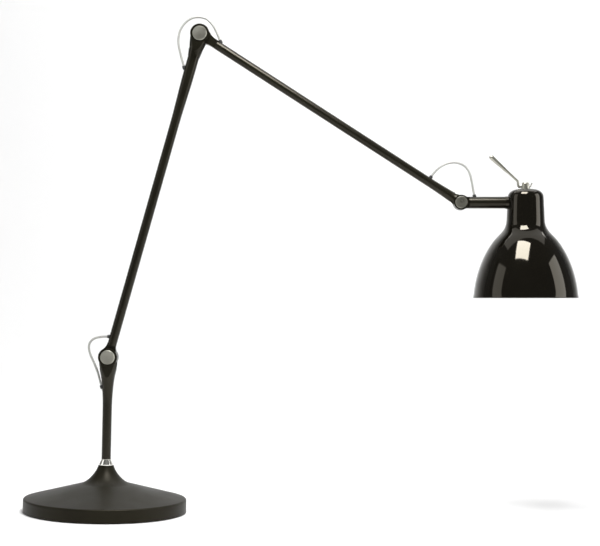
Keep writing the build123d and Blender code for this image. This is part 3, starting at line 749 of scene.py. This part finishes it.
@dataclass
class Flex:
    """One stretch of the flex, as a round sheath along its route.

    Attributes:
        name: Name of the piece.
        node: Machined stretch that it stands for.
        first: Route point whose run it starts in the middle of, or None for the route's start.
        last: Route point whose run it ends in the middle of, or None for the route's end.
        length: Real length, in metres; not used.
        bodies: The body that it rides on, or the two that it bends between.
        bend: Where the bend starts and ends.
        lay: How it lies; not used.
        eased: Points that take the place of the inner route points where the bend is tight.
        diameter: Outer diameter, in metres.
        sides: Sides of the round section.
        fineness: Points of the centreline between two route points.
        least_step: Least distance between two points of the centreline, in metres.
        pattern_span: Width of the pattern round the sheath, in metres.
    """

    name: str
    node: str
    first: int | None
    last: int | None
    length: float
    bodies: tuple[Body, ...]
    bend: tuple[Vector, Vector] | None = None
    lay: str = "loose"
    eased: tuple[Vector, ...] = ()
    diameter: float = 0.003
    sides: int = 16
    fineness: int = 14
    least_step: float = 0.0002
    pattern_span: float = 0.01

    def corners(self) -> list[Vector]:
        """Route points of this stretch, ending in the middle of its outer runs."""
        start = 0 if self.first is None else self.first
        stop = len(FLEX_ROUTE) - 1 if self.last is None else self.last + 1
        points = list(FLEX_ROUTE[start:stop + 1])
        if self.first is not None:
            points[0] = (FLEX_ROUTE[start] + FLEX_ROUTE[start + 1]) / 2
        if self.last is not None:
            points[-1] = (FLEX_ROUTE[stop - 1] + FLEX_ROUTE[stop]) / 2
        if self.eased:
            points[1:-1] = self.eased
        return points

    def centreline(self) -> list[Vector]:
        """Points read from a spline through the route.

        Returns:
            Close points along the middle of the flex.
        """
        curve = bpy.data.curves.new(f"{self.name}_line", "CURVE")
        curve.dimensions = "3D"
        curve.resolution_u = self.fineness
        spline = curve.splines.new("NURBS")
        corners = self.corners()
        spline.points.add(len(corners) - 1)
        for point, corner in zip(spline.points, corners):
            point.co = (*corner, 1.0)
        spline.order_u = 3
        spline.use_endpoint_u = True
        line = bpy.data.objects.new(f"{self.name}_line", curve)
        bpy.context.collection.objects.link(line)
        bpy.context.view_layer.update()
        evaluated = line.evaluated_get(bpy.context.evaluated_depsgraph_get())
        mesh = bpy.data.meshes.new_from_object(evaluated)
        points = [Vector(vertex.co) for vertex in mesh.vertices]
        bpy.data.meshes.remove(mesh)
        bpy.data.objects.remove(line, do_unlink=True)
        bpy.data.curves.remove(curve)
        kept = [points[0]]
        for point in points[1:]:
            if (point - kept[-1]).length > self.least_step:
                kept.append(point)
        return kept

    def _rings(self, path: list[Vector]) -> list[list[Vector]]:
        """Rings of points round the path, carried along it without twist."""
        radius = self.diameter / 2
        tangent = (path[1] - path[0]).normalized()
        across = Vector((0.0, 1.0, 0.0)) if abs(tangent.y) < 0.9 else Vector((1.0, 0.0, 0.0))
        across = (across - tangent * across.dot(tangent)).normalized()
        rings = []
        for index, point in enumerate(path):
            ahead = path[min(index + 1, len(path) - 1)] - path[max(index - 1, 0)]
            across = (tangent.rotation_difference(ahead) @ across).normalized()
            tangent = ahead.normalized()
            other = tangent.cross(across)
            ring = []
            for side in range(self.sides):
                turn = 2 * math.pi * side / self.sides
                ring.append(point + (across * math.cos(turn) + other * math.sin(turn)) * radius)
            rings.append(ring)
        return rings

    def build(self) -> bpy.types.Object:
        """Returns:
            The finished flex.
        """
        path = self.centreline()
        rings = self._rings(path)
        sides = self.sides
        vertices = [tuple(point) for ring in rings for point in ring]
        faces = []
        marks = []
        turn_width = self.pattern_span / sides
        walked = [0.0]
        for before, after in zip(path, path[1:]):
            walked.append(walked[-1] + (after - before).length)
        for row in range(len(path) - 1):
            for side in range(sides):
                following = (side + 1) % sides
                here, there = row * sides, (row + 1) * sides
                faces.append((here + side, here + following, there + following, there + side))
                low, high = side * turn_width, (side + 1) * turn_width
                near, far = walked[row], walked[row + 1]
                marks.append(((low, near), (high, near), (high, far), (low, far)))
        last = (len(path) - 1) * sides
        faces.append(tuple(reversed(range(sides))))
        faces.append(tuple(last + side for side in range(sides)))
        mesh = bpy.data.meshes.new(self.name)
        mesh.from_pydata(vertices, [], faces)
        layer = mesh.uv_layers.new(name="along")
        for face, corners in zip(mesh.polygons, marks):
            for loop, mark in zip(face.loop_indices, corners):
                layer.data[loop].uv = mark
        piece = bpy.data.objects.new(self.name, mesh)
        bpy.context.collection.objects.link(piece)
        select_only(piece)
        bpy.ops.object.mode_set(mode="EDIT")
        bpy.ops.mesh.select_all(action="SELECT")
        bpy.ops.mesh.normals_make_consistent(inside=False)
        bpy.ops.object.mode_set(mode="OBJECT")
        smooth(piece, ROUND_ANGLE)
        SHEATH.dress(piece)
        if self.bend is None:
            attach(piece, self.bodies[0].value)
        else:
            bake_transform(piece)
        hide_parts(self.node)
        return piece


@dataclass
class FlexBush:
    """Soft bush that lines a hole where the flex leaves or enters a member.

    Sizes are in millimetres, and the points in metres.

    Attributes:
        name: Name of the piece.
        middle: Where the flex crosses the wall.
        ahead: Direction of the flex there, in the lamp's plane.
        body: Body that it rides on.
    """

    name: str
    middle: Vector
    ahead: Vector
    body: Body
    bore: float = 1.55
    radius: float = 2.35
    half_length: float = 2.4
    rounding: float = 0.35
    steps: int = 40

    def outline(self) -> list[Point]:
        """Closed outline of the bush's wall, with rounded lips."""
        soft = self.rounding
        low, high = self.bore + soft, self.radius - soft
        end = self.half_length - soft
        points = []
        corners = ((high, end, 90.0), (high, -end, 0.0), (low, -end, -90.0), (low, end, -180.0))
        for radius, height, start in corners:
            for index in range(4):
                turn = math.radians(start - index * 30.0)
                points.append((radius + soft * math.cos(turn), height + soft * math.sin(turn)))
        return points

    def build(self) -> bpy.types.Object:
        """Spin the bush round the flex.

        Returns:
            The finished bush.
        """
        lean = math.degrees(math.atan2(self.ahead.x, self.ahead.z))
        place = ArmFrame(self.middle.x / MM, self.middle.z / MM, lean)
        piece = spin_outline(self.name, self.outline(), place, self.steps)
        smooth(piece, ROUND_ANGLE)
        RUBBER.dress(piece)
        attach(piece, self.body.value)
        return piece


@dataclass
class FeltPad:
    """Felt disc under the foot, with a soft edge and a matted surface.

    Sizes are in millimetres.
    """

    radius: float = 104.3
    thickness: float = 2.5
    softness: float = 0.7
    rings: int = 34
    steps: int = 120
    tuft: float = 4.0
    unevenness: float = 0.3

    def outline(self) -> list[Point]:
        """Outline of the disc from its middle at the top to its middle underneath."""
        flat = self.radius - self.softness
        top = [(flat * index / self.rings, self.thickness) for index in range(self.rings)]
        edge = []
        for middle, start in ((self.thickness - self.softness, 90.0), (self.softness, 0.0)):
            for index in range(4):
                turn = math.radians(start - index * 30.0)
                edge.append((flat + self.softness * math.cos(turn), middle + self.softness * math.sin(turn)))
        return top + edge + [(radius, 0.0) for radius, _ in reversed(top)]

    def build(self) -> bpy.types.Object:
        """Spin the disc and matt its surface.

        Returns:
            The finished pad.
        """
        pad = spin_outline("felt_disc", self.outline(), ArmFrame(0.0, 0.0, 0.0), self.steps, closed=False)
        select_only(pad)
        matting = bpy.data.textures.new("felt matting", "CLOUDS")
        matting.noise_scale = self.tuft * MM
        uneven = pad.modifiers.new("matting", "DISPLACE")
        uneven.texture = matting
        uneven.texture_coords = "LOCAL"
        uneven.strength = -self.unevenness * MM
        uneven.mid_level = 0.0
        bpy.ops.object.modifier_apply(modifier=uneven.name)
        bpy.data.textures.remove(matting)
        smooth(pad, SOFT_ANGLE)
        FELT.dress(pad)
        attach(pad, Body.BASE.value)
        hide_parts("felt_pad")
        return pad


@dataclass(frozen=True)
class Softbox:
    """One rectangular soft light, in metres and watts."""

    name: str
    place: tuple[float, float, float]
    target: tuple[float, float, float]
    size: Point
    power: float

    def build(self) -> None:
        """Set the light up and point it at its target."""
        light = bpy.data.lights.new(self.name, "AREA")
        light.shape = "RECTANGLE"
        light.size, light.size_y = self.size
        light.energy = self.power
        holder = bpy.data.objects.new(self.name, light)
        bpy.context.collection.objects.link(holder)
        holder.location = self.place
        aim = Vector(self.target) - Vector(self.place)
        holder.rotation_euler = aim.to_track_quat("-Z", "Y").to_euler()


SOFTBOXES = (
    Softbox("window", (0.314, -0.57, 1.41), (0.549, 0.0, 0.35), (0.62, 0.60), 26.0),
    Softbox("left fill", (-1.8, -0.6, 0.9), (0.3, 0.0, 0.3), (1.0, 1.8), 7.0),
    Softbox("right fill", (2.4, -0.5, 0.8), (0.3, 0.0, 0.3), (1.0, 1.8), 16.0),
    Softbox("ceiling", (0.4, 0.5, 2.5), (0.4, 0.5, 0.0), (3.4, 1.6), 16.0),
    Softbox("back light", (0.3, 1.0, 2.4), (0.3, 2.2, 0.9), (3.4, 0.8), 30.0),
)


@dataclass
class Studio:
    """Pale floor and backdrop, soft lights and the camera. Sizes are in metres."""

    middle_x: float = 0.25
    half_width: float = 4.5
    front: float = -4.0
    back: float = 2.2
    backdrop_height: float = 3.6
    fold: float = 1.4
    fold_steps: int = 24
    edge_margin: float = 0.01
    paper: Colour = (0.86, 0.86, 0.86)
    surround: Colour = (1.0, 1.0, 0.99)
    surround_strength: float = 0.14
    backcloth: Colour = (0.94, 0.94, 0.94)
    lens: float = 85.0
    sensor: float = 36.0
    shift_up: float = 0.0418
    camera_place: tuple[float, float, float] = (0.2526, -1.8805, 0.2889)
    camera_roll: float = 1.25

    def build_floor(self) -> None:
        """Make the floor, fold its back edge up and dress it."""
        start_fresh()
        middle = (self.front + self.back) / 2
        bpy.ops.mesh.primitive_plane_add(size=1.0, location=(self.middle_x, middle, 0.0))
        floor = bpy.context.object
        floor.name = "floor"
        floor.scale = (2 * self.half_width, self.back - self.front, 1.0)
        bpy.ops.object.transform_apply(location=True, rotation=True, scale=True)
        for vertex in floor.data.vertices:
            vertex.select = False
        for face in floor.data.polygons:
            face.select = False
        for edge in floor.data.edges:
            ends = [floor.data.vertices[index].co.y for index in edge.vertices]
            edge.select = min(ends) > self.back - self.edge_margin
        bpy.ops.object.mode_set(mode="EDIT")
        bpy.ops.mesh.select_mode(type="EDGE")
        bpy.ops.mesh.extrude_region_move(TRANSFORM_OT_translate={"value": (0.0, 0.0, self.backdrop_height)})
        bpy.ops.object.mode_set(mode="OBJECT")
        sweep_up = floor.modifiers.new("fold", "BEVEL")
        sweep_up.width = self.fold
        sweep_up.segments = self.fold_steps
        sweep_up.limit_method = "ANGLE"
        bpy.ops.object.modifier_apply(modifier=sweep_up.name)
        smooth(floor, SOFT_ANGLE)
        paper = bpy.data.materials.new("paper floor")
        paper.use_nodes = True
        shader = paper.node_tree.nodes["Principled BSDF"]
        shader.inputs["Base Color"].default_value = (*self.paper, 1.0)
        shader.inputs["Roughness"].default_value = 0.9
        shader.inputs["Specular IOR Level"].default_value = 0.1
        floor.data.materials.append(paper)

    def build_lights(self) -> None:
        """Set the softboxes and the even surround."""
        for softbox in SOFTBOXES:
            softbox.build()
        world = bpy.data.worlds.new("even surround")
        world.use_nodes = True
        tree = world.node_tree
        lighting = tree.nodes["Background"]
        lighting.inputs["Color"].default_value = (*self.surround, 1.0)
        lighting.inputs["Strength"].default_value = self.surround_strength
        paper = tree.nodes.new("ShaderNodeBackground")
        paper.inputs["Color"].default_value = (*self.backcloth, 1.0)
        choice = tree.nodes.new("ShaderNodeMixShader")
        ray = tree.nodes.new("ShaderNodeLightPath")
        tree.links.new(ray.outputs["Is Camera Ray"], choice.inputs["Fac"])
        tree.links.new(lighting.outputs["Background"], choice.inputs[1])
        tree.links.new(paper.outputs["Background"], choice.inputs[2])
        tree.links.new(choice.outputs["Shader"], tree.nodes["World Output"].inputs["Surface"])
        bpy.context.scene.world = world

    def build_camera(self) -> None:
        """Place the camera and make it the scene's own."""
        data = bpy.data.cameras.new("camera")
        data.lens = self.lens
        data.sensor_width = self.sensor
        data.shift_y = self.shift_up
        data.dof.use_dof = False
        camera = bpy.data.objects.new("camera", data)
        bpy.context.collection.objects.link(camera)
        roll = math.radians(self.camera_roll)
        right = Vector((math.cos(roll), 0.0, math.sin(roll)))
        upwards = Vector((-math.sin(roll), 0.0, math.cos(roll)))
        towards = Vector((0.0, -1.0, 0.0))
        turn = Matrix((right, upwards, towards)).transposed()
        camera.matrix_world = Matrix.Translation(self.camera_place) @ turn.to_4x4()
        bpy.context.scene.camera = camera
        bpy.context.scene.view_settings.view_transform = "Standard"

    def build(self) -> None:
        """Make the floor, the lights and the camera."""
        self.build_floor()
        self.build_lights()
        self.build_camera()


def about(pivot: ArmFrame, across: float, upwards: float) -> Vector:
    """Point beside a pivot, in metres, from millimetres along +X and +Z."""
    return Vector((pivot.x + across, 0.0, pivot.z + upwards)) * MM


def flexes() -> list[Flex]:
    """The stretches of the flex that show, from the foot to the lampholder."""
    return [
        Flex("flex_foot", "cable_foot", None, 2, 0.1056, (Body.BASE,), lay="taut"),
        Flex(
            "flex_loop_lower", "cable_loop_lower", 3, 10, 0.1008, (Body.POST, Body.LOWER_ARM),
            (about(POST, -14.0, -24.0), about(POST, -3.0, 27.0)),
        ),
        Flex(
            "flex_loop_crown", "cable_loop_crown", 12, 20, 0.1265, (Body.LOWER_ARM, Body.UPPER_ARM),
            (about(CROWN, -29.0, -6.0), about(CROWN, 15.0, 6.0)),
        ),
        Flex(
            "flex_loop_elbow", "cable_loop_elbow", 22, 29, 0.0937, (Body.UPPER_ARM, Body.FOREARM),
            (about(ELBOW, -37.0, 37.0), about(ELBOW, 14.0, 22.0)),
        ),
        Flex(
            "flex_head", "cable_head", 31, None, 0.0368, (Body.HEAD,), lay="taut",
            eased=(SHADE.place(-4.0, 0.5), SHADE.place(0.2, -3.5)),
        ),
    ]


def bushes() -> list[FlexBush]:
    """The bushes where the flex crosses the wall of a member."""
    return [
        FlexBush("bush_post", POST.place(-7.9, -39.6), FLEX_ROUTE[4] - FLEX_ROUTE[3], Body.POST),
        FlexBush("bush_lower_bottom", LOWER.place(-6.4, 26.6), FLEX_ROUTE[11] - FLEX_ROUTE[10], Body.LOWER_ARM),
        FlexBush("bush_lower_top", CROWN.place(-8.2, -48.3), FLEX_ROUTE[13] - FLEX_ROUTE[12], Body.LOWER_ARM),
        FlexBush("bush_upper_bottom", UPPER.place(-6.3, 28.3), FLEX_ROUTE[21] - FLEX_ROUTE[20], Body.UPPER_ARM),
        FlexBush("bush_upper_top", ELBOW.place(-6.2, -51.8), FLEX_ROUTE[23] - FLEX_ROUTE[22], Body.UPPER_ARM),
        FlexBush("bush_forearm", FOREARM.place(-8.2, 18.24), FLEX_ROUTE[30] - FLEX_ROUTE[29], Body.FOREARM),
    ]


def main() -> None:
    """Build and dress the lamp, then set the studio round it."""
    logging.basicConfig(level=logging.INFO, format="%(name)s: %(message)s")
    Dressing(SINGLE_FINISHES).apply()
    for builder in (Shade(), FeltPad(), *flexes(), *bushes()):
        piece = builder.build()
        log.info("%s built with %d faces", piece.name, len(piece.data.polygons))
    Studio().build()


if __name__ == "__main__":
    main()
